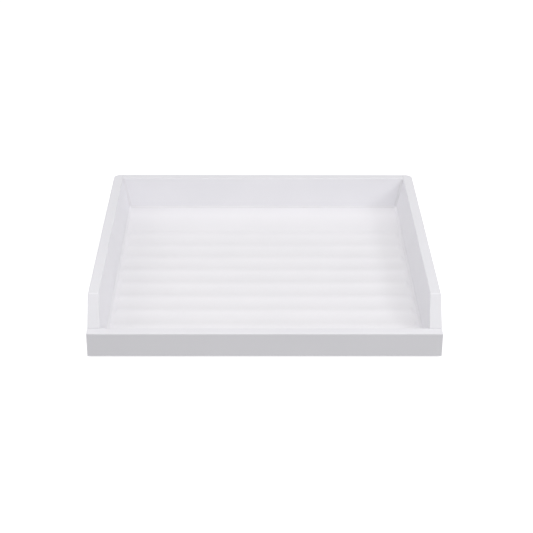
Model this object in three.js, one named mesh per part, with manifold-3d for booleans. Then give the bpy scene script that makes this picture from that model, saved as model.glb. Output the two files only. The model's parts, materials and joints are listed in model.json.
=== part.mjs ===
// Low-fronted developing tray, joined from rigid white plastic boards.
// Millimetres, +Z up, the lip towards -Y. The origin is on the bench, under the middle of the tray.

import * as THREE from 'three';
import { mergeVertices } from 'three/addons/utils/BufferGeometryUtils.js';
import Module from 'manifold-3d';

const wasm = await Module();
wasm.setup();

// ---- driving dimensions ---------------------------------------------------------------

const WIDTH = 508.6;             // across the rim
const FRONT_WIDTH = 500;         // across the ends of the front board
const DEPTH = 518;               // front face to the back of the rim
const HEIGHT = 63.5;             // bench to rim
const LIFT = 2.5;                // the feet hold the boards this far off the bench
const LIP_HEIGHT = 38.3;         // bench to the lip
const FLOOR_HEIGHT = 15;         // bench to the flat part of the floor
const GAP = 0.3;                 // left between two pieces that touch

const FRONT_THICK = 17;          // front board
const RIM_WIDTH = 15.6;          // top face of the side and back boards, which thicken downwards
const OUTER_DRAFT = Math.tan(THREE.MathUtils.degToRad(9.7));
const INNER_DRAFT = Math.tan(THREE.MathUtils.degToRad(13.4));
const BACK_CORNER_RADIUS = 14;   // outer upright edges of the two back corners
const BACK_CORNER_STEPS = 8;
const END_RUN = 59;              // how far the sloping front end of a side board runs back
const END_ROUND = 12;            // rounding between that slope and the rim
const EDGE_ROUND = 1.2;          // eased long edges of the boards

const PANEL_THICK = 6;           // floor sheet
const GROOVE_DEPTH = 5;          // housing for the floor sheet in each board
const RIDGE_PITCH = 44.46;
const RIDGE_COUNT = 8;
const RIDGE_HEIGHT = 1.5;
const CREST_SHARE = 1 / 3;       // part of the pitch that is rounded crest; the rest is hollow
const RIDGE_STEPS = 12;          // straight pieces from one crest to the next
const FIRST_RIDGE = 67.3;        // from the front face of the tray to the first crest
const RIDGE_ROOT = 1;            // how deep the ridges are sunk into the sheet they grow from

const COVE_RADIUS = 3;           // side and back floor fillets
const FRONT_COVE_RADIUS = 2.5;
const CORNER_COVE_RADIUS = 3;    // upright fillets in the inner back corners
const COVE_EDGE = 0.4;           // material left at the thin edge of a cove strip
const COVE_STEPS = 8;

const BEARER_SPACING = 120;
const BEARER_WIDTH = 18;
const BEARER_FOOT = 3;           // bench to the underside of the bearers and corner blocks
const BLOCK_SIZE = 42;
const BLOCK_CUT = 14;            // chamfer on the corner of a block that points into the tray

const FOOT_INSET = 21;           // foot centre to the outer sides of its block
const FOOT_HEIGHT = 5;
const FOOT_TOP_RADIUS = 12;
const FOOT_BASE_RADIUS = 10.5;
const FOOT_ROUND = 1;
const FOOT_BORE_RADIUS = 2;
const FOOT_POCKET_RADIUS = 5;
const FOOT_POCKET_DEPTH = 3.2;

const SCREW_HEAD_RADIUS = 3.5;
const SCREW_HEAD_HEIGHT = 1.9;
const SCREW_HEAD_ROUND = 0.8;    // height of the rounded edge of the head
const SCREW_HEAD_CROWN = 0.15;   // rise of the head inside that edge
const SCREW_SHANK_RADIUS = 1.5;
const SCREW_LENGTH = 5.2;
const SCREW_POINT = 1.2;         // length of the tapered tip
const RECESS_WIDTH = 0.8;        // cross recess in the screw head
const RECESS_SPAN = 3.6;
const RECESS_DEPTH = 1;

const DOWEL_RADIUS = 3;
const DOWEL_LENGTH = 16;
const DOWEL_CHAMFER = 0.8;
const FRONT_DOWEL_HEIGHTS = [12, 27];
const BACK_DOWEL_HEIGHTS = [12, 32, 50];
const BACK_DOWEL_SHIFT = 1;      // back from mid-thickness, away from the housing for the floor sheet
const ROUND_SIDES = 24;

// ---- places worked out from them --------------------------------------------------------

const FRONT = -DEPTH / 2;
const BACK = DEPTH / 2;
const FRONT_INNER = FRONT + FRONT_THICK;

// The three high boards lean outwards: their faces move in towards the foot.
const outerFace = (rim, z) => rim - (HEIGHT - z) * OUTER_DRAFT;
const innerFace = (rim, z) => rim - RIM_WIDTH - (HEIGHT - z) * INNER_DRAFT;
const sideOuter = (z) => outerFace(WIDTH / 2, z);
const sideInner = (z) => innerFace(WIDTH / 2, z);
const backOuter = (z) => outerFace(BACK, z);
const backInner = (z) => innerFace(BACK, z);

const PANEL_UNDERSIDE = FLOOR_HEIGHT - PANEL_THICK;
const PANEL_HALF_WIDTH = sideInner(FLOOR_HEIGHT) + GROOVE_DEPTH - GAP;
const PANEL_FRONT = FRONT_INNER - GROOVE_DEPTH + GAP;
const PANEL_BACK = backInner(FLOOR_HEIGHT) + GROOVE_DEPTH - GAP;

const COVE_TOE = COVE_RADIUS + COVE_EDGE + GAP;

const UNDER_TOP = PANEL_UNDERSIDE - GAP;
const UNDER_SIDE = sideInner(BEARER_FOOT) - GAP;
const UNDER_FRONT = FRONT_INNER + GAP;
const UNDER_BACK = backInner(BEARER_FOOT) - GAP;

// ---- materials -----------------------------------------------------------------------------

const plain = (color, roughness, metalness = 0) =>
  new THREE.MeshStandardMaterial({ color, roughness, metalness });

const boardWhite = () => plain(0xeceef1, 0.42);
const floorWhite = () => plain(0xf2f3f5, 0.38);
const sealWhite = () => plain(0xeff0f2, 0.35);
const framePlastic = () => plain(0xdfe1e4, 0.6);
const dowelPlastic = () => plain(0xe6e7e9, 0.5);
const footRubber = () => plain(0x3c3e41, 0.85);
const stainless = () => plain(0xb9bcc0, 0.3, 1);

// ---- geometry helpers --------------------------------------------------------------------------

// An outline from points; a point with a third value is rounded to that radius in a few steps.
function outline(points, arcSteps = 3) {
  const count = points.length;
  const path = points.flatMap(([u, v, radius = 0], i) => {
    const corner = new THREE.Vector2(u, v);
    if (radius === 0) return [corner];
    const [beforeU, beforeV] = points[(i + count - 1) % count];
    const [afterU, afterV] = points[(i + 1) % count];
    const before = new THREE.Vector2(beforeU, beforeV).sub(corner).normalize();
    const after = new THREE.Vector2(afterU, afterV).sub(corner).normalize();
    const halfAngle = Math.acos(before.dot(after)) / 2;
    const inward = before.clone().add(after).normalize();
    const centre = corner.clone().addScaledVector(inward, radius / Math.sin(halfAngle));
    const start = corner.clone().addScaledVector(before, radius / Math.tan(halfAngle));
    const sweep = Math.sign(after.cross(before)) * (Math.PI - 2 * halfAngle);
    return Array.from({ length: arcSteps + 1 }, (_, step) =>
      start.clone().rotateAround(centre, sweep * (step / arcSteps)));
  });
  return new THREE.Shape(path);
}

function extruded(shape, length, axes) {
  const geometry = new THREE.ExtrudeGeometry(shape, { depth: length, bevelEnabled: false });
  const columns = axes.map((axis) => new THREE.Vector3(...axis));
  return geometry.applyMatrix4(new THREE.Matrix4().makeBasis(...columns));
}

// Shape drawn in (Y, Z), extruded from x0 to x1.
const alongX = (shape, x0, x1) =>
  extruded(shape, x1 - x0, [[0, 1, 0], [0, 0, 1], [1, 0, 0]]).translate(x0, 0, 0);

// Shape drawn in (Z, X), extruded from y0 to y1.
const alongY = (shape, y0, y1) =>
  extruded(shape, y1 - y0, [[0, 0, 1], [1, 0, 0], [0, 1, 0]]).translate(0, y0, 0);

// Shape drawn in (X, Y), extruded from z0 to z1.
const alongZ = (shape, z0, z1) =>
  extruded(shape, z1 - z0, [[1, 0, 0], [0, 1, 0], [0, 0, 1]]).translate(0, 0, z0);

function box(x0, x1, y0, y1, z0, z1) {
  const geometry = new THREE.BoxGeometry(x1 - x0, y1 - y0, z1 - z0);
  return geometry.translate((x0 + x1) / 2, (y0 + y1) / 2, (z0 + z1) / 2);
}

// A profile of (radius, height) turned about the upright axis.
function turned(profile, sides = ROUND_SIDES) {
  const points = profile.map(([radius, height]) => new THREE.Vector2(radius, height));
  return new THREE.LatheGeometry(points, sides).rotateX(Math.PI / 2);
}

function solid(geometry) {
  const bare = geometry.clone();
  bare.deleteAttribute('normal');
  bare.deleteAttribute('uv');
  const merged = mergeVertices(bare, 1e-4);
  return new wasm.Manifold(new wasm.Mesh({
    numProp: 3,
    vertProperties: new Float32Array(merged.attributes.position.array),
    triVerts: new Uint32Array(merged.index.array),
  }));
}

function geometryOf(manifold) {
  const mesh = manifold.getMesh();
  const geometry = new THREE.BufferGeometry();
  geometry.setAttribute('position', new THREE.BufferAttribute(new Float32Array(mesh.vertProperties), 3));
  geometry.setIndex(new THREE.BufferAttribute(new Uint32Array(mesh.triVerts), 1));
  geometry.computeVertexNormals();
  return geometry;
}

const cut = (body, ...tools) => tools.reduce((rest, tool) => rest.subtract(solid(tool)), body);

// The same shape on the other side of the tray's middle plane x = 0.
function mirrored(geometry) {
  const copy = geometry.clone().scale(-1, 1, 1);
  const order = copy.index.array;
  for (let i = 0; i < order.length; i += 3) {
    const first = order[i];
    order[i] = order[i + 1];
    order[i + 1] = first;
  }
  copy.computeVertexNormals();
  return copy;
}

// Leans an upright shape in the right back corner outwards with the two boards that meet there.
function leaned(geometry, draft) {
  const shift = -draft * HEIGHT;
  return geometry.applyMatrix4(new THREE.Matrix4().set(
    1, 0, draft, shift,
    0, 1, draft, shift,
    0, 0, 1, 0,
    0, 0, 0, 1));
}

const tray = new THREE.Group();

function add(name, geometry, material, position = [0, 0, 0]) {
  const mesh = new THREE.Mesh(geometry, material);
  mesh.name = name;
  mesh.position.set(...position);
  tray.add(mesh);
}

// ---- dowels and their holes ------------------------------------------------------------------

// Front dowels lie along Y across the joint face, back dowels along X. The front ones keep clear of
// the housing for the floor sheet.
const frontDowelRun = (z) => (sideOuter(z) + sideInner(z) + GROOVE_DEPTH) / 2;
const backDowelRun = (z) => (backOuter(z) + backInner(z)) / 2 + BACK_DOWEL_SHIFT;
const frontDowels = (side) => FRONT_DOWEL_HEIGHTS.map((z) => [side * frontDowelRun(z), FRONT_INNER, z]);
const backDowels = (side) => BACK_DOWEL_HEIGHTS.map((z) => [side * sideInner(z), backDowelRun(z), z]);

function dowel() {
  const half = DOWEL_LENGTH / 2;
  const slim = DOWEL_RADIUS - DOWEL_CHAMFER;
  return turned([
    [0, -half],
    [slim, -half],
    [DOWEL_RADIUS, -half + DOWEL_CHAMFER],
    [DOWEL_RADIUS, half - DOWEL_CHAMFER],
    [slim, half],
    [0, half],
  ]);
}

const dowelHole = () => new THREE.CylinderGeometry(
  DOWEL_RADIUS + GAP, DOWEL_RADIUS + GAP, DOWEL_LENGTH + 2 * GAP, ROUND_SIDES);

const frontHoles = [-1, 1].flatMap(frontDowels).map((place) => dowelHole().translate(...place));
const backHoles = [-1, 1].flatMap(backDowels)
  .map((place) => dowelHole().rotateZ(Math.PI / 2).translate(...place));

// ---- boards --------------------------------------------------------------------------------------

// Room for the edge of the floor sheet, cut into all four boards.
const floorHousing = box(
  -PANEL_HALF_WIDTH - GAP, PANEL_HALF_WIDTH + GAP,
  PANEL_FRONT - GAP, PANEL_BACK + GAP,
  PANEL_UNDERSIDE - GAP, FLOOR_HEIGHT + GAP);

function frontBoard() {
  const section = outline([
    [FRONT, LIFT, EDGE_ROUND],
    [FRONT_INNER, LIFT],
    [FRONT_INNER, LIP_HEIGHT, EDGE_ROUND],
    [FRONT, LIP_HEIGHT, EDGE_ROUND],
  ]);
  const plan = outline([
    [-FRONT_WIDTH / 2, FRONT, EDGE_ROUND],
    [FRONT_WIDTH / 2, FRONT, EDGE_ROUND],
    [FRONT_WIDTH / 2, FRONT_INNER],
    [-FRONT_WIDTH / 2, FRONT_INNER],
  ]);
  const board = solid(alongX(section, -FRONT_WIDTH / 2, FRONT_WIDTH / 2))
    .intersect(solid(alongZ(plan, 0, HEIGHT)));
  return geometryOf(cut(board, floorHousing, ...frontHoles));
}

// The side boards' outline seen from the side: sloping front end, rounded top corners.
const sideElevation = () => outline([
  [FRONT_INNER + GAP, LIFT],
  [backOuter(LIFT), LIFT],
  [BACK, HEIGHT, EDGE_ROUND],
  [FRONT_INNER + GAP + END_RUN, HEIGHT, END_ROUND],
  [FRONT_INNER + GAP, LIP_HEIGHT],
], 5);

// Everything outside the rounded upright edge of the right back corner.
function beyondCorner() {
  const centreX = WIDTH / 2 - BACK_CORNER_RADIUS;
  const centreY = BACK - BACK_CORNER_RADIUS;
  const plan = [];
  for (let i = 0; i <= BACK_CORNER_STEPS; i += 1) {
    const angle = (Math.PI / 2) * (i / BACK_CORNER_STEPS);
    plan.push([
      centreX + BACK_CORNER_RADIUS * Math.sin(angle),
      centreY + BACK_CORNER_RADIUS * Math.cos(angle),
    ]);
  }
  plan.push([WIDTH, centreY], [WIDTH, DEPTH], [centreX, DEPTH]);
  return leaned(alongZ(outline(plan), 0, 2 * HEIGHT), OUTER_DRAFT);
}

function rightSideBoard() {
  const section = outline([
    [LIFT, sideInner(LIFT)],
    [LIFT, sideOuter(LIFT), EDGE_ROUND],
    [HEIGHT, sideOuter(HEIGHT), EDGE_ROUND],
    [HEIGHT, sideInner(HEIGHT), EDGE_ROUND],
  ]);
  const board = solid(alongY(section, FRONT_INNER, BACK))
    .intersect(solid(alongX(sideElevation(), 0, WIDTH)));
  return geometryOf(cut(board, beyondCorner(), floorHousing, ...frontHoles, ...backHoles));
}

function backBoard() {
  const section = outline([
    [backInner(LIFT), LIFT],
    [backOuter(LIFT), LIFT, EDGE_ROUND],
    [BACK, HEIGHT, EDGE_ROUND],
    [backInner(HEIGHT), HEIGHT, EDGE_ROUND],
  ]);
  const elevation = outline([
    [LIFT, GAP - sideInner(LIFT)],
    [LIFT, sideInner(LIFT) - GAP],
    [HEIGHT, sideInner(HEIGHT) - GAP],
    [HEIGHT, GAP - sideInner(HEIGHT)],
  ]);
  const board = solid(alongX(section, -FRONT_WIDTH / 2, FRONT_WIDTH / 2))
    .intersect(solid(alongY(elevation, 0, DEPTH)));
  return geometryOf(cut(board, floorHousing, ...backHoles));
}

// ---- floor ---------------------------------------------------------------------------------------

// Height of the ridges at a share of the pitch from a crest: an arch that runs into a hollow.
function ridgeHeight(share) {
  const away = Math.abs(share - Math.round(share));
  const arch = CREST_SHARE / 2;
  return away < arch
    ? RIDGE_HEIGHT * (1 - 2 * away ** 2 / arch)
    : RIDGE_HEIGHT * (0.5 - away) ** 2 * 2 / (0.5 - arch);
}

// Section of all the ridges in (Y, Z), from the foot of the first to the foot of the last.
function ridgeSection() {
  const start = FRONT + FIRST_RIDGE;
  const points = [];
  for (let i = -RIDGE_STEPS / 2; i <= (RIDGE_COUNT - 0.5) * RIDGE_STEPS; i += 1) {
    const share = i / RIDGE_STEPS;
    points.push([start + share * RIDGE_PITCH, FLOOR_HEIGHT + ridgeHeight(share)]);
  }
  const root = FLOOR_HEIGHT - RIDGE_ROOT;
  const from = start - RIDGE_PITCH / 2;
  return outline([[from, root], [from + RIDGE_COUNT * RIDGE_PITCH, root], ...points.reverse()]);
}

// A flat sheet with low ridges across it; behind the last ridge it is plain.
function floorPanel() {
  const halfWidth = sideInner(FLOOR_HEIGHT) - COVE_TOE - GAP;
  const sheet = box(
    -PANEL_HALF_WIDTH, PANEL_HALF_WIDTH, PANEL_FRONT, PANEL_BACK, PANEL_UNDERSIDE, FLOOR_HEIGHT);
  return geometryOf(solid(sheet).add(solid(alongX(ridgeSection(), -halfWidth, halfWidth))));
}

// Concave fillet in (run, height), measured from the foot of the wall it lies against; the wall
// leans away from it by the draft. A margin thickens it all round, to cut a strip fitted over it.
function coveSection(radius, draft, margin = 0) {
  const slant = Math.hypot(1, draft);
  const toe = radius + COVE_EDGE + GAP;
  const foot = GAP - margin;
  const wallRun = (height) => foot * slant - height * draft;
  const centreRun = toe * slant - toe * draft;
  const lean = Math.atan(draft);
  const arc = [];
  for (let i = 0; i <= COVE_STEPS; i += 1) {
    const angle = lean + (Math.PI / 2 - lean) * (i / COVE_STEPS);
    const reach = radius - margin;
    arc.push([centreRun - reach * Math.cos(angle), toe - reach * Math.sin(angle)]);
  }
  const [topRun, topHeight] = arc[0];
  const top = topHeight + margin;
  const corners = [[wallRun(foot), foot], [wallRun(top), top]];
  if (margin > 0) corners.push([topRun, top]);
  return [...corners, ...arc, [centreRun, foot]];
}

function sideCoveStrip(margin = 0) {
  const points = coveSection(COVE_RADIUS, INNER_DRAFT, margin)
    .map(([run, height]) => [FLOOR_HEIGHT + height, sideInner(FLOOR_HEIGHT) - run]);
  return alongY(outline(points), FRONT_INNER + GAP, backInner(FLOOR_HEIGHT) + margin);
}

function backCoveStrip(margin = 0) {
  const reach = sideInner(FLOOR_HEIGHT) + margin;
  const points = coveSection(COVE_RADIUS, INNER_DRAFT, margin)
    .map(([run, height]) => [backInner(FLOOR_HEIGHT) - run, FLOOR_HEIGHT + height]);
  return alongX(outline(points), -reach, reach);
}

// Everything on one side of the mitre line in an inner back corner.
function beyondMitre(side, frontHalf) {
  const reach = 3 * COVE_RADIUS;
  const x = sideInner(FLOOR_HEIGHT);
  const y = backInner(FLOOR_HEIGHT) + (frontHalf ? GAP / 2 : -GAP / 2);
  const turn = frontHalf ? [x + reach, y - reach] : [x - reach, y + reach];
  const wedge = [[x + reach, y + reach], turn, [x - reach, y - reach]];
  return alongZ(outline(wedge.map(([u, v]) => [side * u, v])), 0, HEIGHT);
}

const rightCove = () => geometryOf(cut(solid(sideCoveStrip()), beyondMitre(1, false)));

const backCove = () => geometryOf(cut(solid(backCoveStrip()), beyondMitre(-1, true), beyondMitre(1, true)));

// The front strip is lower than the side strips and is fitted over their feet.
function frontCove() {
  const points = coveSection(FRONT_COVE_RADIUS, 0)
    .map(([run, height]) => [FRONT_INNER + run, FLOOR_HEIGHT + height]);
  const reach = sideInner(FLOOR_HEIGHT) - GAP;
  const strip = solid(alongX(outline(points), -reach, reach));
  const rightFoot = solid(sideCoveStrip(GAP).translate(0, -FRONT_THICK, 0));
  const leftFoot = solid(mirrored(geometryOf(rightFoot)));
  return geometryOf(strip.subtract(rightFoot).subtract(leftFoot));
}

// Upright strip in the right inner back corner.
function rightCornerCove() {
  const points = coveSection(CORNER_COVE_RADIUS, 0)
    .map(([x, y]) => [sideInner(HEIGHT) - x, backInner(HEIGHT) - y]);
  const strip = leaned(alongZ(outline(points), FLOOR_HEIGHT + GAP, HEIGHT - EDGE_ROUND), INNER_DRAFT);
  return geometryOf(cut(solid(strip), sideCoveStrip(GAP), backCoveStrip(GAP)));
}

// ---- underside -------------------------------------------------------------------------------------

const bearer = () => box(
  -BEARER_WIDTH / 2, BEARER_WIDTH / 2, UNDER_FRONT, UNDER_BACK, BEARER_FOOT, UNDER_TOP);

// Block with its outer corner at the origin, reaching into the tray towards (inX, inY).
function cornerBlock(inX, inY) {
  const plan = [
    [0, 0],
    [BLOCK_SIZE, 0],
    [BLOCK_SIZE, BLOCK_SIZE - BLOCK_CUT],
    [BLOCK_SIZE - BLOCK_CUT, BLOCK_SIZE],
    [0, BLOCK_SIZE],
  ].map(([u, v]) => [inX * u, inY * v]);
  const upright = (radius, top) => new THREE.CylinderGeometry(radius, radius, top, ROUND_SIDES)
    .rotateX(Math.PI / 2).translate(inX * FOOT_INSET, inY * FOOT_INSET, top / 2);
  const seat = upright(FOOT_TOP_RADIUS + GAP, FOOT_HEIGHT + GAP);
  const hole = upright(SCREW_SHANK_RADIUS + GAP, HEIGHT);
  return geometryOf(cut(solid(alongZ(outline(plan), BEARER_FOOT, UNDER_TOP)), seat, hole));
}

const foot = () => turned([
  [FOOT_POCKET_RADIUS, 0],
  [FOOT_BASE_RADIUS - FOOT_ROUND, 0],
  [FOOT_BASE_RADIUS, FOOT_ROUND],
  [FOOT_TOP_RADIUS, FOOT_HEIGHT],
  [FOOT_BORE_RADIUS, FOOT_HEIGHT],
  [FOOT_BORE_RADIUS, FOOT_POCKET_DEPTH],
  [FOOT_POCKET_RADIUS, FOOT_POCKET_DEPTH],
  [FOOT_POCKET_RADIUS, 0],
]);

// Pan-head screw with its head down and a cross recess in it.
function footScrew() {
  const bearing = FOOT_POCKET_DEPTH - GAP;
  const base = bearing - SCREW_HEAD_HEIGHT;
  const tip = bearing + SCREW_LENGTH;
  const body = solid(turned([
    [0, base],
    [SCREW_HEAD_RADIUS - SCREW_HEAD_ROUND, base + SCREW_HEAD_CROWN],
    [SCREW_HEAD_RADIUS - SCREW_HEAD_CROWN, base + SCREW_HEAD_ROUND],
    [SCREW_HEAD_RADIUS, bearing],
    [SCREW_SHANK_RADIUS, bearing],
    [SCREW_SHANK_RADIUS, tip - SCREW_POINT],
    [0, tip],
  ]));
  const half = RECESS_SPAN / 2;
  const thin = RECESS_WIDTH / 2;
  const top = base + RECESS_DEPTH;
  return geometryOf(cut(body, box(-half, half, -thin, thin, 0, top), box(-thin, thin, -half, half, 0, top)));
}

// ---- assembly --------------------------------------------------------------------------------------

const rightBoard = rightSideBoard();
const rightStrip = rightCove();
const rightUpright = rightCornerCove();

add('front_board', frontBoard(), boardWhite());
add('back_board', backBoard(), boardWhite());
add('left_side_board', mirrored(rightBoard), boardWhite());
add('right_side_board', rightBoard, boardWhite());
add('floor_panel', floorPanel(), floorWhite());

add('front_cove', frontCove(), sealWhite());
add('back_cove', backCove(), sealWhite());
add('left_cove', mirrored(rightStrip), sealWhite());
add('right_cove', rightStrip, sealWhite());
add('back_left_corner_cove', mirrored(rightUpright), sealWhite());
add('back_right_corner_cove', rightUpright, sealWhite());

['left', 'middle', 'right'].forEach((place, i) => {
  add(`floor_bearer_${place}`, bearer(), framePlastic(), [(i - 1) * BEARER_SPACING, 0, 0]);
});

for (const [sideName, side] of [['left', -1], ['right', 1]]) {
  for (const [endName, end, y] of [['front', -1, UNDER_FRONT], ['back', 1, UNDER_BACK]]) {
    const corner = `${endName}_${sideName}`;
    const x = side * UNDER_SIDE;
    const footPlace = [x - side * FOOT_INSET, y - end * FOOT_INSET, 0];
    add(`corner_block_${corner}`, cornerBlock(-side, -end), framePlastic(), [x, y, 0]);
    add(`foot_${corner}`, foot(), footRubber(), footPlace);
    add(`foot_screw_${corner}`, footScrew(), stainless(), footPlace);
  }
  frontDowels(side).forEach((place, i) => {
    add(`dowel_front_${sideName}_${i + 1}`, dowel().rotateX(Math.PI / 2), dowelPlastic(), place);
  });
  backDowels(side).forEach((place, i) => {
    add(`dowel_back_${sideName}_${i + 1}`, dowel().rotateY(Math.PI / 2), dowelPlastic(), place);
  });
}

export default tray;
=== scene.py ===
"""Developing tray: materials, fine geometry, studio light and camera around the CAD frame."""
import json
import math

import bmesh
import bpy
from mathutils import Matrix, Vector
from mathutils.bvhtree import BVHTree


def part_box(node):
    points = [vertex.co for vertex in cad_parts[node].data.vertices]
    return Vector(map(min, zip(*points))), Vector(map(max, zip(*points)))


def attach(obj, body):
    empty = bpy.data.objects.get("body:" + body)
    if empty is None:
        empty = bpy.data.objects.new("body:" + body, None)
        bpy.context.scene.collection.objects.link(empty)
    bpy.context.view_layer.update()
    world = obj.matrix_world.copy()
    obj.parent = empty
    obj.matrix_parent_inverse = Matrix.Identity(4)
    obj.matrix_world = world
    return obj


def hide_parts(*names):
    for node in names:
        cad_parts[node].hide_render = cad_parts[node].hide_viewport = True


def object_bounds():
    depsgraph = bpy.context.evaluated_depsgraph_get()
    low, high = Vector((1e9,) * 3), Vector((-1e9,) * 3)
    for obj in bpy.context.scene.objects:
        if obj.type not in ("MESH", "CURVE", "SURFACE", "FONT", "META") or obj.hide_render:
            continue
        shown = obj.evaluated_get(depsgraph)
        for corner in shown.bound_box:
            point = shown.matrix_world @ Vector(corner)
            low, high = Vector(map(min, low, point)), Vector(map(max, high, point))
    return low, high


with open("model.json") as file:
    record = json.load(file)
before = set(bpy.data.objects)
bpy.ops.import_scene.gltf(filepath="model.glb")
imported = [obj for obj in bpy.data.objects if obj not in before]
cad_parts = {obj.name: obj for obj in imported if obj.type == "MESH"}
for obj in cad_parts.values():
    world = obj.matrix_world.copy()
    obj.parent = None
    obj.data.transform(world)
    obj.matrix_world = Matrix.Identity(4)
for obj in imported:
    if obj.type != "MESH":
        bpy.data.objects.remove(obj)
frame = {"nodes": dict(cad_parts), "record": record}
cad_low, cad_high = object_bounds()
nodes = frame["nodes"]
scene = bpy.context.scene

MM = 0.001

# ---- camera ------------------------------------------------------------------------------

SENSOR_WIDTH = 36.0
IMAGE_SIDE = 533
FOCAL_PIXELS = 1450
CAMERA_DISTANCE = 1.7772        # from the front board's face, along the bench
CAMERA_HEIGHT = 1.0194
CAMERA_SIDE = -0.0141
CAMERA_PITCH = 0.4579           # radians below the horizon
CAMERA_YAW = 0.0090
CAMERA_ROLL = 0.0044
CLIP_RANGE = 0.05, 50


def add_camera():
    data = bpy.data.cameras.new("camera")
    data.sensor_width = SENSOR_WIDTH
    data.lens = SENSOR_WIDTH * FOCAL_PIXELS / IMAGE_SIDE
    data.clip_start, data.clip_end = CLIP_RANGE
    camera = bpy.data.objects.new("camera", data)
    place = Matrix.Translation((CAMERA_SIDE, cad_low[1] - CAMERA_DISTANCE, CAMERA_HEIGHT))
    turn = Matrix.Rotation(-CAMERA_YAW, 4, "Z") @ Matrix.Rotation(math.pi / 2 - CAMERA_PITCH, 4, "X")
    camera.matrix_world = place @ turn @ Matrix.Rotation(CAMERA_ROLL, 4, "Z")
    scene.collection.objects.link(camera)
    scene.camera = camera


add_camera()

# ---- materials -----------------------------------------------------------------------------


class Surface:
    """A Principled material and short ways to wire noise into it."""

    def __init__(self, name):
        self.material = bpy.data.materials.new(name)
        self.material.use_nodes = True
        self.tree = self.material.node_tree
        self.shader = self.tree.nodes["Principled BSDF"]
        self.place = self.node("ShaderNodeTexCoord").outputs["Object"]

    def node(self, kind, **values):
        made = self.tree.nodes.new(kind)
        for key, value in values.items():
            setattr(made, key, value)
        return made

    def link(self, source, target):
        self.tree.links.new(source, target)

    def stretched(self, scale):
        mapping = self.node("ShaderNodeMapping")
        mapping.inputs["Scale"].default_value = scale
        self.link(self.place, mapping.inputs["Vector"])
        return mapping.outputs["Vector"]

    def noise(self, size, detail=3.0, stretch=(1, 1, 1)):
        """Noise with features of the given size in metres."""
        made = self.node("ShaderNodeTexNoise")
        made.inputs["Scale"].default_value = 1 / size
        made.inputs["Detail"].default_value = detail
        self.link(self.stretched(stretch), made.inputs["Vector"])
        return made.outputs["Fac"]

    def ranged(self, source, low, high, from_low=0.0, from_high=1.0):
        made = self.node("ShaderNodeMapRange")
        self.link(source, made.inputs["Value"])
        made.inputs["From Min"].default_value = from_low
        made.inputs["From Max"].default_value = from_high
        made.inputs["To Min"].default_value = low
        made.inputs["To Max"].default_value = high
        return made.outputs["Result"]

    def blend(self, factor, first, second):
        made = self.node("ShaderNodeMix", data_type="RGBA")
        self.link(factor, made.inputs["Factor"])
        for socket, colour in ((made.inputs["A"], first), (made.inputs["B"], second)):
            if isinstance(colour, tuple):
                socket.default_value = (*colour, 1)
            else:
                self.link(colour, socket)
        return made.outputs["Result"]

    def mask(self, size, detail, low, high, stretch=(1, 1, 1)):
        """Noise stretched to 0 below the low level and 1 above the high one."""
        return self.ranged(self.noise(size, detail, stretch), 0, 1, low, high)

    def math(self, operation, *values):
        made = self.node("ShaderNodeMath", operation=operation)
        for socket, value in zip(made.inputs, values):
            if isinstance(value, float):
                socket.default_value = value
            else:
                self.link(value, socket)
        return made.outputs[0]

    def bump(self, height, depth, after=None):
        """Bump whose full height is depth metres."""
        made = self.node("ShaderNodeBump")
        made.inputs["Distance"].default_value = depth
        self.link(height, made.inputs["Height"])
        if after is not None:
            self.link(after, made.inputs["Normal"])
        return made.outputs["Normal"]


BEVEL_SAMPLES = 4
EDGE_TURN = 0.02, 0.16          # change of the normal at which wear begins, and is full
BACK_FOOT = 0.2325              # where the back wall meets the floor
# Painted shade on the floor in front of the back wall: how far it reaches and how dark it gets.
PAINTED_SHADE_RUN = 0.036                # how far forward of it the floor is darker
PAINTED_SHADE_STRENGTH = 0.5
WORN_ROUGHNESS = 0.22           # added to the roughness of a worn edge


def scaled(colour, factor):
    return tuple(part * factor for part in colour)


def edge_mask(surface, radius):
    """1 along edges sharper than the radius, 0 on open faces, broken up by noise."""
    rounded = surface.node("ShaderNodeBevel", samples=BEVEL_SAMPLES)
    rounded.inputs["Radius"].default_value = radius
    flat = surface.node("ShaderNodeNewGeometry").outputs["Normal"]
    across = surface.node("ShaderNodeVectorMath", operation="DISTANCE")
    surface.link(rounded.outputs["Normal"], across.inputs[0])
    surface.link(flat, across.inputs[1])
    edge = surface.ranged(across.outputs["Value"], 0, 1, *EDGE_TURN)
    return surface.math("MULTIPLY", edge, surface.mask(0.012, 4, 0.42, 0.6))


def scratches(surface, stretch):
    """Fine straight marks in patches, longest along the axis with the smallest stretch."""
    streaks = surface.mask(0.0016, 2, 0.66, 0.74, stretch)
    return surface.math("MULTIPLY", streaks, surface.mask(0.05, 3, 0.5, 0.66))


def shade_at_back_foot(surface):
    """Painted shade: darker floor at the foot of the back wall, chosen to match the photo's shading."""
    split = surface.node("ShaderNodeSeparateXYZ")
    surface.link(surface.place, split.inputs[0])
    return surface.ranged(split.outputs["Y"], 0, PAINTED_SHADE_STRENGTH, BACK_FOOT - PAINTED_SHADE_RUN, BACK_FOOT)


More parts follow.
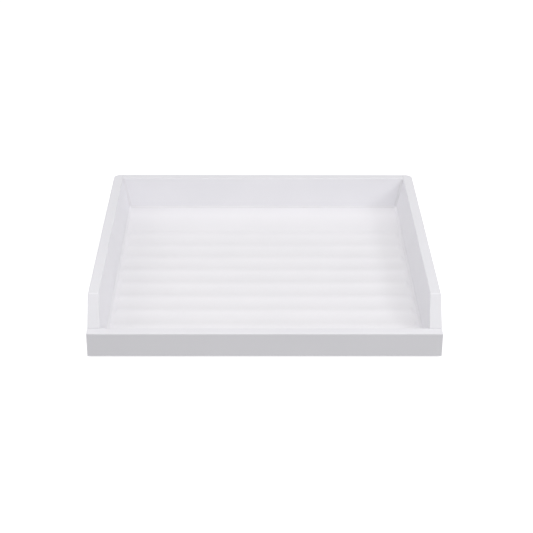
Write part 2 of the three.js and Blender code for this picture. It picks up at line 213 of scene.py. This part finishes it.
def white_plastic(name, base, shade, rough, grain, stretch, worn=0.94, painted_shade=None):
    """Satin white plastic: cloudy tone, specks, orange peel, uneven gloss, scuffed edges, hairlines.

    Grain is the depth of the orange peel in metres; worn is the tone of scuffed edges against base;
    painted_shade, if given, is a mask of painted shade that darkens the tone.
    """
    surface = Surface(name)
    marks = scratches(surface, stretch)
    wear = edge_mask(surface, 0.0009)
    tone = surface.blend(surface.mask(0.09, 4, 0.35, 0.65), base, shade)
    specks = surface.ranged(surface.noise(0.0009, 2), 0, 0.22, 0.62, 0.8)
    tone = surface.blend(specks, tone, scaled(base, 0.93))
    tone = surface.blend(surface.ranged(marks, 0, 0.35), tone, scaled(base, 0.95))
    tone = surface.blend(surface.ranged(wear, 0, 0.6), tone, scaled(base, worn))
    # Painted shade: darkens the tone where the given mask says.
    if painted_shade is not None:
        tone = surface.blend(painted_shade(surface), tone, scaled(base, 0.8))
    surface.link(tone, surface.shader.inputs["Base Color"])
    gloss = surface.ranged(surface.noise(0.03, 5), rough - 0.05, rough + 0.06, 0.3, 0.7)
    duller = surface.math("MULTIPLY_ADD", wear, WORN_ROUGHNESS, gloss)
    surface.link(duller, surface.shader.inputs["Roughness"])
    peel = surface.bump(surface.noise(0.0022, 2), grain)
    sway = surface.bump(surface.noise(0.06, 1), 6 * grain, peel)
    surface.link(surface.bump(marks, -0.5 * grain, sway), surface.shader.inputs["Normal"])
    return surface.material


def sawn_plastic(name, base, shade):
    """Matt white plastic cut with a saw: fine cross lines, a rough cloudy tone and chipped edges."""
    surface = Surface(name)
    lines = surface.noise(0.0011, 2, (0.05, 1, 1))
    tone = surface.blend(surface.mask(0.03, 5, 0.3, 0.7), base, shade)
    tone = surface.blend(surface.ranged(lines, 0, 0.5, 0.5, 0.7), tone, scaled(base, 0.9))
    tone = surface.blend(edge_mask(surface, 0.0012), tone, scaled(base, 1.08))
    surface.link(tone, surface.shader.inputs["Base Color"])
    surface.link(surface.ranged(lines, 0.55, 0.72, 0.3, 0.7), surface.shader.inputs["Roughness"])
    rough = surface.bump(surface.noise(0.004, 3), 0.00008)
    surface.link(surface.bump(lines, 0.00006, rough), surface.shader.inputs["Normal"])
    return surface.material


def rubber(name, base, dusty):
    """Matt dark rubber, dusty on its edges, with a fine moulded grain."""
    surface = Surface(name)
    grain = surface.noise(0.0006, 3)
    dust = surface.ranged(surface.noise(0.005, 5), 0, 0.6, 0.45, 0.7)
    tone = surface.blend(dust, base, dusty)
    tone = surface.blend(edge_mask(surface, 0.0008), tone, scaled(dusty, 1.4))
    surface.link(tone, surface.shader.inputs["Base Color"])
    surface.link(surface.ranged(grain, 0.72, 0.92, 0.3, 0.7), surface.shader.inputs["Roughness"])
    surface.link(surface.bump(grain, 0.00004), surface.shader.inputs["Normal"])
    return surface.material


def turned_steel(name, base, shade):
    """Stainless steel with fine turning lines and dull, faintly stained patches."""
    surface = Surface(name)
    stain = surface.mask(0.0025, 4, 0.45, 0.7)
    lines = surface.noise(0.0004, 2, (0.1, 0.1, 1))
    surface.link(surface.blend(stain, base, shade), surface.shader.inputs["Base Color"])
    surface.link(surface.ranged(stain, 0.24, 0.42), surface.shader.inputs["Roughness"])
    surface.link(surface.bump(lines, 0.00001), surface.shader.inputs["Normal"])
    surface.shader.inputs["Metallic"].default_value = 1
    return surface.material


# Stretch of the hairlines: they run along the axis with the smallest number.
ALONG_X, ALONG_Y, ANY_WAY = (0.03, 1, 1), (1, 0.03, 1), (0.3, 0.06, 0.3)

BOARD = white_plastic(
    "board_white", (0.83, 0.823, 0.856), (0.815, 0.809, 0.843), 0.42, 0.00004, ALONG_X)
BOARD_END = white_plastic(
    "board_end_white", (0.75, 0.744, 0.775), (0.73, 0.725, 0.754), 0.5, 0.00006, ALONG_Y)
# The floor carries painted shade at the foot of the back wall.
FLOOR = white_plastic(
    "floor_white", (0.86, 0.848, 0.873), (0.848, 0.837, 0.863), 0.4, 0.00003, ANY_WAY, painted_shade=shade_at_back_foot)
# Lit and shaded copies of one seal: the darker tone paints shade along the foot of the back wall and in the
# other coves, the lighter one paints the side feet as lit.
SEAL_SHADED_TONE = white_plastic(
    "seal_white", (0.772, 0.762, 0.79), (0.758, 0.748, 0.776), 0.36, 0.00002, ALONG_Y, 0.97)
SEAL_LIT_TONE = white_plastic(
    "side_seal_white", (0.825, 0.816, 0.845), (0.812, 0.803, 0.832), 0.36, 0.00002, ALONG_Y, 0.97)
FRAME = sawn_plastic("frame_white", (0.7, 0.71, 0.72), (0.64, 0.65, 0.66))
DOWEL = sawn_plastic("dowel_white", (0.74, 0.74, 0.75), (0.7, 0.7, 0.71))
RUBBER = rubber("foot_rubber", (0.035, 0.037, 0.04), (0.09, 0.09, 0.092))
STEEL = turned_steel("screw_steel", (0.62, 0.62, 0.63), (0.5, 0.5, 0.5))

LOOKS = {
    "board": BOARD, "floor": FLOOR, "seal": SEAL_SHADED_TONE, "frame": FRAME,
    "dowel": DOWEL, "foot_rubber": RUBBER, "screw": STEEL,
}

slot_of = {row["node"]: row["material_slot"] for row in frame["record"]["subparts"]}
for name, node in nodes.items():
    node.data.materials.clear()
    node.data.materials.append(LOOKS[slot_of[name]])


# ---- fine geometry ---------------------------------------------------------------------------

JOINT_REACH = 0.36 * MM         # faces this close to a neighbour are glued to it
GLUE_LINE = 0.04 * MM           # what is left of the gap between them
INSET = 0.08                    # how far in from a face's corners the gap is measured, as a share
MAX_STEP = 3 * JOINT_REACH      # no corner moves further than this
STEADY = 1e-6                   # keeps the sum of nearly parallel planes solvable
WELD_REACH = 0.002 * MM
FLAT_ANGLE = math.radians(0.4)
SMOOTH_ANGLE = math.radians(38)
EASED_WIDTH = 0.35 * MM         # rounding of the sharp edges
EASED_SEGMENTS = 2
FLAT_FACE_WEIGHT = 100          # large faces keep their own normals
END_FACE_AREA = 200 * MM * MM   # the sloping cut end of a side board is larger than this

# The pieces that show, in the order in which their joint faces are brought together.
BOARDS = ["back_board", "left_side_board", "right_side_board", "front_board"]
COVES = [
    "back_cove", "left_cove", "right_cove", "front_cove", "back_left_corner_cove", "back_right_corner_cove"]
SIDE_COVES = "left_cove", "right_cove"
SHOWN = BOARDS + ["floor_panel"] + COVES
neighbour = {}                  # search tree of each shown piece


def welded(name):
    """A node's mesh in the CAD frame, with its triangles joined into whole flat faces."""
    mesh = bmesh.new()
    mesh.from_mesh(nodes[name].data)
    mesh.transform(nodes[name].matrix_world)
    bmesh.ops.remove_doubles(mesh, verts=mesh.verts, dist=WELD_REACH)
    bmesh.ops.dissolve_limit(mesh, angle_limit=FLAT_ANGLE, verts=mesh.verts, edges=mesh.edges)
    mesh.normal_update()
    return mesh


def gap_in_front(face, name):
    """Distance from a face to the neighbour it is glued to, or None if part of it is in the open."""
    middle = face.calc_center_median()
    spots = [middle] + [corner.co.lerp(middle, INSET) for corner in face.verts]
    others = [tree for other, tree in neighbour.items() if other != name]
    worst = 0.0
    for spot in spots:
        hits = [tree.ray_cast(spot, face.normal, JOINT_REACH) for tree in others]
        near = [distance for place, _, _, distance in hits if place is not None]
        if not near:
            return None
        worst = max(worst, min(near))
    return worst


def close_joints(mesh, name):
    """Moves whole joint faces up to the glue line; every other face stays in its plane.

    Each corner goes where its planes, moved by their own amounts, best meet (least squares).
    """
    shift = {}
    for face in mesh.faces:
        gap = gap_in_front(face, name)
        if gap is not None and gap > GLUE_LINE:
            shift[face] = gap - GLUE_LINE
    for corner in mesh.verts:
        planes = [(face.normal.copy(), shift.get(face, 0.0)) for face in corner.link_faces]
        if not any(move for _, move in planes):
            continue
        normal_sum = Matrix(((0, 0, 0), (0, 0, 0), (0, 0, 0)))
        target = Vector((0, 0, 0))
        for normal, move in planes:
            for i in range(3):
                target[i] += normal[i] * move
                for j in range(3):
                    normal_sum[i][j] += normal[i] * normal[j]
        for i in range(3):
            normal_sum[i][i] += STEADY
        step = normal_sum.inverted() @ target
        if step.length < MAX_STEP:
            corner.co += step
    mesh.normal_update()


def faces_forward_and_up(face):
    return face.normal.y < -0.3 and face.normal.z > 0.2


def shown_piece(name, mesh, ease_edges=True):
    """Stands in for a node: its sharp edges are rounded and its curves are shaded smooth."""
    data = bpy.data.meshes.new(name + "_piece")
    mesh.to_mesh(data)
    mesh.free()
    data.shade_smooth()
    piece = bpy.data.objects.new(name + "_piece", data)
    scene.collection.objects.link(piece)
    # The side coves take the lit copy of the seal, the other coves the shaded copy.
    data.materials.append(SEAL_LIT_TONE if name in SIDE_COVES else LOOKS[slot_of[name]])
    if name.endswith("side_board"):
        data.materials.append(BOARD_END)
        for face in data.polygons:
            if faces_forward_and_up(face) and face.area > END_FACE_AREA:
                face.material_index = 1
    if ease_edges:
        bevel = piece.modifiers.new("eased", "BEVEL")
        bevel.limit_method = "ANGLE"
        bevel.angle_limit = SMOOTH_ANGLE
        bevel.width = EASED_WIDTH
        bevel.segments = EASED_SEGMENTS
    level = piece.modifiers.new("level", "WEIGHTED_NORMAL")
    level.weight = FLAT_FACE_WEIGHT
    level.keep_sharp = True
    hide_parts(name)
    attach(piece, "root")


# ---- floor sheet: ridges with rounded crests that die away towards the side walls ------------

RIDGE_COUNT = 8
RIDGE_PITCH = 44.46 * MM
FIRST_RIDGE = 67.3 * MM         # from the front face to the first crest
RIDGE_HEIGHT = 1.47 * MM
CREST_SHARE = 1 / 3             # part of the pitch that is rounded crest; the rest is hollow
END_FADE = 7 * MM               # length over which a ridge sinks into the sheet at its ends
END_CLEAR = 8 * MM              # from the edge of the sheet, in its housing, to the end of a ridge
SHEET_TOP = 15 * MM
SHEET_THICK = 6 * MM
ROW_STEP = 1.0 * MM
WIDE_COLUMNS = 0, 0.35, 0.7     # shares of the ridges' half length, where they keep their height
FADE_STEPS = 6
LEVEL_ANGLE = 1e-5              # two faces that meet at less than this are one


def ridge_share(y):
    """Height share of the ridges at a place along Y: arches that run into wide hollows."""
    along = (y - cad_low[1] - FIRST_RIDGE) / RIDGE_PITCH
    if not -0.5 < along < RIDGE_COUNT - 0.5:
        return 0.0
    away = abs(along - round(along))
    arch = CREST_SHARE / 2
    if away < arch:
        return 1 - 2 * away ** 2 / arch
    return 2 * (0.5 - away) ** 2 / (0.5 - arch)


def smooth_step(share):
    share = min(1.0, max(0.0, share))
    return share * share * (3 - 2 * share)


def floor_sheet():
    low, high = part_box("floor_panel")
    half = high[0]
    ridge_half = half - END_CLEAR
    columns = [ridge_half * share for share in WIDE_COLUMNS]
    columns += [ridge_half - END_FADE * (1 - i / FADE_STEPS) for i in range(FADE_STEPS + 1)] + [half]
    columns = sorted({-x for x in columns} | set(columns))
    count = round((high[1] - low[1]) / ROW_STEP)
    rows = [low[1] + (high[1] - low[1]) * i / count for i in range(count + 1)]
    faded = [smooth_step((ridge_half - abs(x)) / END_FADE) for x in columns]

    mesh = bmesh.new()
    top, bottom = [], []
    for y in rows:
        rise = RIDGE_HEIGHT * ridge_share(y)
        top.append([mesh.verts.new((x, y, SHEET_TOP + rise * fade)) for x, fade in zip(columns, faded)])
        bottom.append([mesh.verts.new((x, y, SHEET_TOP - SHEET_THICK)) for x in columns])
    for i in range(len(rows) - 1):
        for j in range(len(columns) - 1):
            mesh.faces.new((top[i][j], top[i][j + 1], top[i + 1][j + 1], top[i + 1][j]))
            mesh.faces.new((bottom[i][j], bottom[i + 1][j], bottom[i + 1][j + 1], bottom[i][j + 1]))
        for j in (0, -1):
            mesh.faces.new((top[i][j], top[i + 1][j], bottom[i + 1][j], bottom[i][j]))
    for i in (0, -1):
        for j in range(len(columns) - 1):
            mesh.faces.new((bottom[i][j], bottom[i][j + 1], top[i][j + 1], top[i][j]))
    bmesh.ops.recalc_face_normals(mesh, faces=mesh.faces)

    middle = SHEET_TOP - SHEET_THICK / 2
    underside = [
        edge for edge in mesh.edges
        if edge.calc_face_angle(0) < LEVEL_ANGLE and max(corner.co.z for corner in edge.verts) < middle]
    bmesh.ops.dissolve_edges(mesh, edges=underside, use_verts=True)
    for edge in mesh.edges:
        if edge.calc_face_angle(0) > SMOOTH_ANGLE:
            edge.smooth = False
    return mesh


meshes = {name: floor_sheet() if name == "floor_panel" else welded(name) for name in SHOWN}
for name in SHOWN:
    neighbour[name] = BVHTree.FromBMesh(meshes[name])
for name in BOARDS + COVES:
    close_joints(meshes[name], name)
    neighbour[name] = BVHTree.FromBMesh(meshes[name])
for name in SHOWN:
    shown_piece(name, meshes[name], ease_edges=name != "floor_panel")


# ---- studio -----------------------------------------------------------------------------------

SKY = 0.3345                    # even light from all round, above the bench
BENCH_BOUNCE = 0.5778           # even light from below, as a pale bench throws back
HORIZON_BLUR = 0.02             # sine of the angle over which one fades into the other
BENCH_HALF = 12
BENCH_DROP = 0.0002             # below the feet, so that the two don't share a plane
BENCH_GLOW = 0.45
SOFTBOXES = [                   # place, side of the square box, power in watts
    ((0.0, 0.0, 2.6), 2.0, 19.8),
    ((0.0, -2.6, 1.2), 1.4, 8.1),
    ((-2.4, 0.0, 1.5), 1.4, 15.2),
    ((-1.5, -1.0, 2.4), 1.2, 6.9),
    ((2.4, 0.0, 1.5), 1.4, 10.4),
    ((1.5, -1.0, 2.4), 1.2, 11.9),
    ((2.0, -1.6, 1.6), 0.5, 11.5),
]


def add_world():
    world = bpy.data.worlds.new("studio")
    scene.world = world
    world.use_nodes = True
    tree = world.node_tree
    direction = tree.nodes.new("ShaderNodeTexCoord")
    split = tree.nodes.new("ShaderNodeSeparateXYZ")
    level = tree.nodes.new("ShaderNodeMapRange")
    level.inputs["From Min"].default_value = -HORIZON_BLUR
    level.inputs["From Max"].default_value = HORIZON_BLUR
    level.inputs["To Min"].default_value = BENCH_BOUNCE
    level.inputs["To Max"].default_value = SKY
    tree.links.new(direction.outputs["Generated"], split.inputs[0])
    tree.links.new(split.outputs["Z"], level.inputs["Value"])
    tree.links.new(level.outputs["Result"], tree.nodes["Background"].inputs["Strength"])
    tree.nodes["Background"].inputs["Color"].default_value = (1, 1, 1, 1)


def add_softbox(place, side, power):
    data = bpy.data.lights.new("softbox", "AREA")
    data.shape = "SQUARE"
    data.size = side
    data.energy = power
    light = bpy.data.objects.new("softbox", data)
    light.location = place
    light.rotation_euler = (-Vector(place)).to_track_quat("-Z", "Y").to_euler()
    scene.collection.objects.link(light)


def add_bench():
    """White bench top. It is seen but throws no light: the world's lower half does that for it."""
    corners = [(u * BENCH_HALF, v * BENCH_HALF, 0) for u, v in ((-1, -1), (1, -1), (1, 1), (-1, 1))]
    mesh = bpy.data.meshes.new("studio_floor")
    mesh.from_pydata(corners, [], [range(4)])
    bench = bpy.data.objects.new("studio_floor", mesh)
    bench.location.z = -BENCH_DROP
    scene.collection.objects.link(bench)
    bench.visible_diffuse = False
    bench.visible_glossy = False
    bench.visible_transmission = False
    bench.visible_shadow = False
    surface = Surface("studio_floor")
    surface.shader.inputs["Base Color"].default_value = (0.9, 0.9, 0.9, 1)
    surface.shader.inputs["Roughness"].default_value = 0.9
    surface.shader.inputs["Emission Color"].default_value = (1, 1, 1, 1)
    surface.shader.inputs["Emission Strength"].default_value = BENCH_GLOW
    mesh.materials.append(surface.material)


scene.view_settings.view_transform = "Standard"
add_world()
for softbox in SOFTBOXES:
    add_softbox(*softbox)
add_bench()
